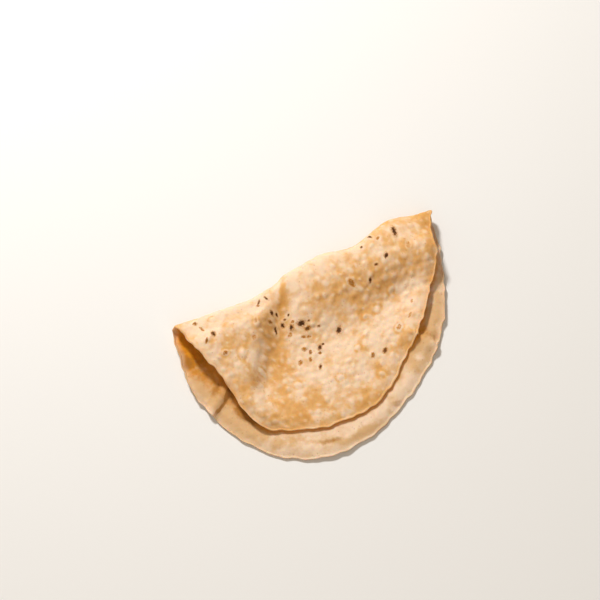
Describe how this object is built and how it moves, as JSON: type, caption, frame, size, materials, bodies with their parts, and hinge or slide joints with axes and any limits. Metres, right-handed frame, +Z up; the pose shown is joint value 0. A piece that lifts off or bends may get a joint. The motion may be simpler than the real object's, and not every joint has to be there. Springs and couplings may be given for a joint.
{
  "type": "folded chapati flatbread",
  "caption": "Thin round wheat flatbread folded in half, its flap standing off at the sides and lying down at the front, with an uneven hand-rolled rim.",
  "frame": {"origin": "on the table under the middle of the bread's box, below its lower half", "axes": "+X along the fold, +Y towards the fold, +Z up from the table"},
  "size_m": [0.174, 0.1124, 0.0173],
  "materials": {
    "crust": "matt baked flour crust, cream to golden tan, with pale blisters and small dark char spots"
  },
  "bodies": {
    "root": {"chapati": "crust"}
  },
  "joints": []
}
